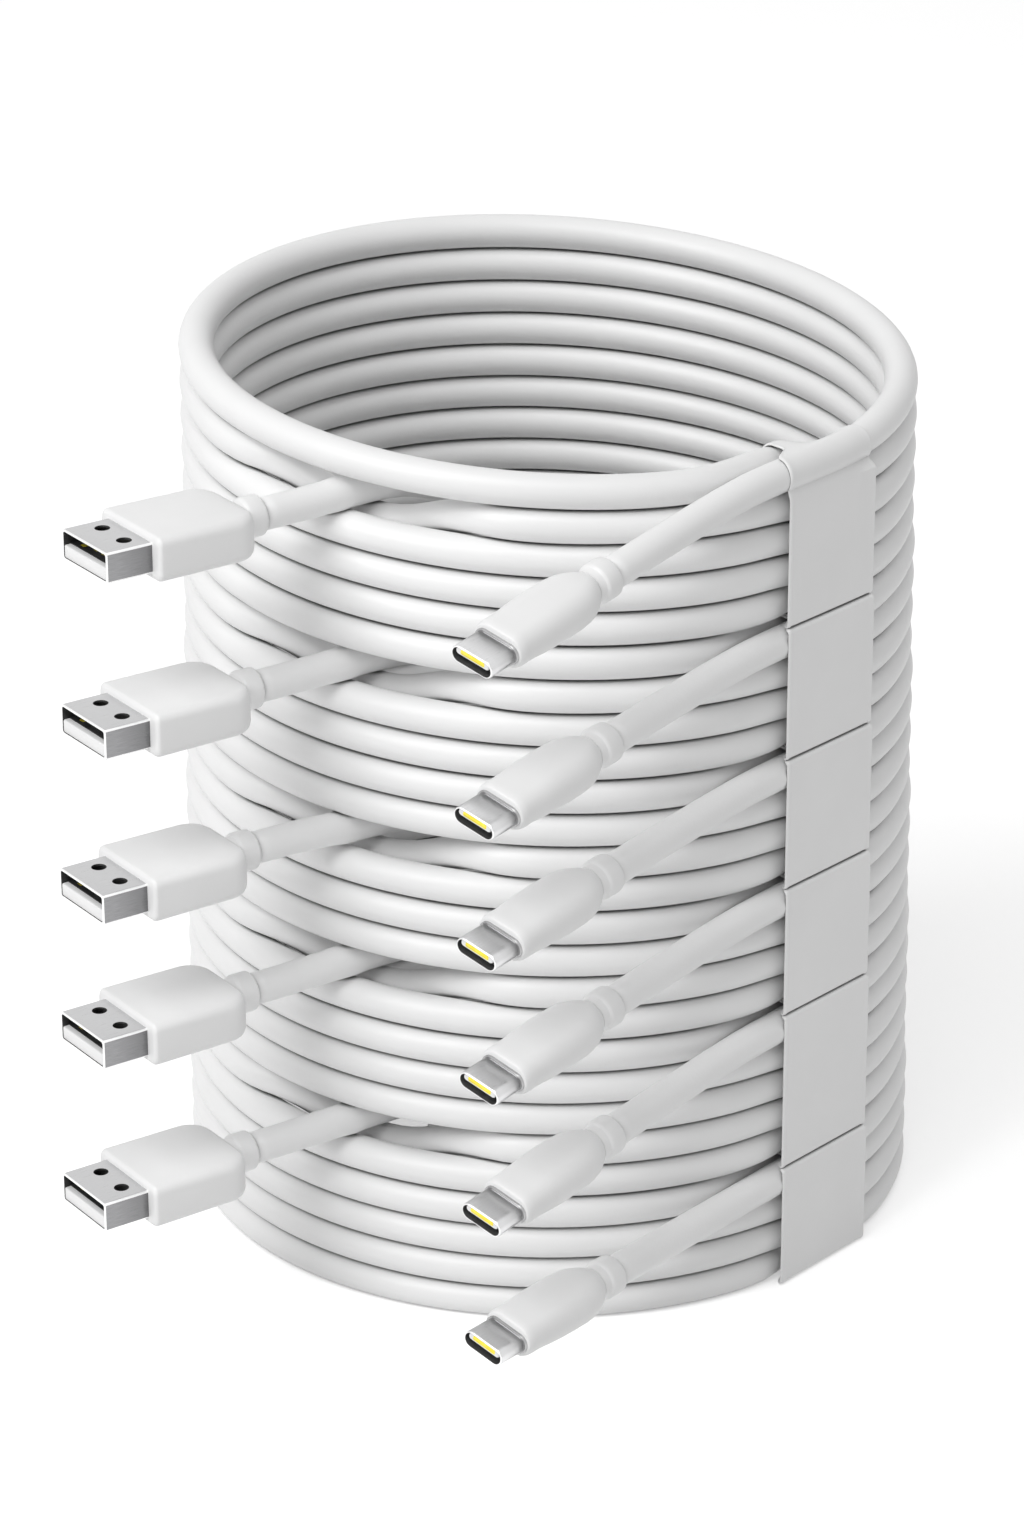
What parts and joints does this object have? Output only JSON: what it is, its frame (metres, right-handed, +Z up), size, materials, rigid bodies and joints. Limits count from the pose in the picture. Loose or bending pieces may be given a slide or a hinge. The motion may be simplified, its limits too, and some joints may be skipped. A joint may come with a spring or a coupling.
{
  "type": "charging cable",
  "caption": "Charging cables with a USB-A and a USB-C plug, each wound in a round coil and strapped, stacked as a hollow roll.",
  "frame": {"origin": "on the vertical axis of the roll, at the surface that it stands on", "axes": "+Z up along the roll's axis, -Y towards the front, where the USB-C plugs hang, +X to the right"},
  "size_m": [0.1242, 0.1531, 0.1382],
  "materials": {
    "cable": "smooth white satin cable jacket",
    "strap": "thin flat white film strap",
    "grip": "fine satin moulded white plug grip",
    "shell": "nickel-plated steel plug shell",
    "tongue": "white moulded tongue inside the plug",
    "contacts": "gold-coloured contacts and lining inside the plug"
  },
  "bodies": {
    "cable_1": {"coil_1": "cable", "strap_1": "strap", "lead_a_1": "cable", "lead_c_1": "cable", "usb_a_grip_1": "grip", "usb_a_shell_1": "shell", "usb_a_tongue_1": "tongue", "usb_c_grip_1": "grip", "usb_c_shell_1": "shell", "usb_c_insert_1": "contacts"},
    "cable_2": {"coil_2": "cable", "strap_2": "strap", "lead_a_2": "cable", "lead_c_2": "cable", "usb_a_grip_2": "grip", "usb_a_shell_2": "shell", "usb_a_tongue_2": "tongue", "usb_c_grip_2": "grip", "usb_c_shell_2": "shell", "usb_c_insert_2": "contacts"},
    "cable_3": {"coil_3": "cable", "strap_3": "strap", "lead_a_3": "cable", "lead_c_3": "cable", "usb_a_grip_3": "grip", "usb_a_shell_3": "shell", "usb_a_tongue_3": "tongue", "usb_c_grip_3": "grip", "usb_c_shell_3": "shell", "usb_c_insert_3": "contacts"},
    "cable_4": {"coil_4": "cable", "strap_4": "strap", "lead_a_4": "cable", "lead_c_4": "cable", "usb_a_grip_4": "grip", "usb_a_shell_4": "shell", "usb_a_tongue_4": "tongue", "usb_c_grip_4": "grip", "usb_c_shell_4": "shell", "usb_c_insert_4": "contacts"},
    "cable_5": {"coil_5": "cable", "strap_5": "strap", "lead_a_5": "cable", "lead_c_5": "cable", "usb_a_grip_5": "grip", "usb_a_shell_5": "shell", "usb_a_tongue_5": "tongue", "usb_c_grip_5": "grip", "usb_c_shell_5": "shell", "usb_c_insert_5": "contacts"},
    "cable_6": {"coil_6": "cable", "strap_6": "strap", "lead_a_6": "cable", "lead_c_6": "cable", "usb_a_grip_6": "grip", "usb_a_shell_6": "shell", "usb_a_tongue_6": "tongue", "usb_c_grip_6": "grip", "usb_c_shell_6": "shell", "usb_c_insert_6": "contacts"}
  },
  "joints": [
    {"name": "lift_1", "type": "slide", "parent": "cable_2", "child": "cable_1", "axis": [0, 0, 1], "range_m": [0, 0.03]},
    {"name": "lift_2", "type": "slide", "parent": "cable_3", "child": "cable_2", "axis": [0, 0, 1], "range_m": [0, 0.03]},
    {"name": "lift_3", "type": "slide", "parent": "cable_4", "child": "cable_3", "axis": [0, 0, 1], "range_m": [0, 0.03]},
    {"name": "lift_4", "type": "slide", "parent": "cable_5", "child": "cable_4", "axis": [0, 0, 1], "range_m": [0, 0.03]},
    {"name": "lift_5", "type": "slide", "parent": "cable_6", "child": "cable_5", "axis": [0, 0, 1], "range_m": [0, 0.03]}
  ]
}
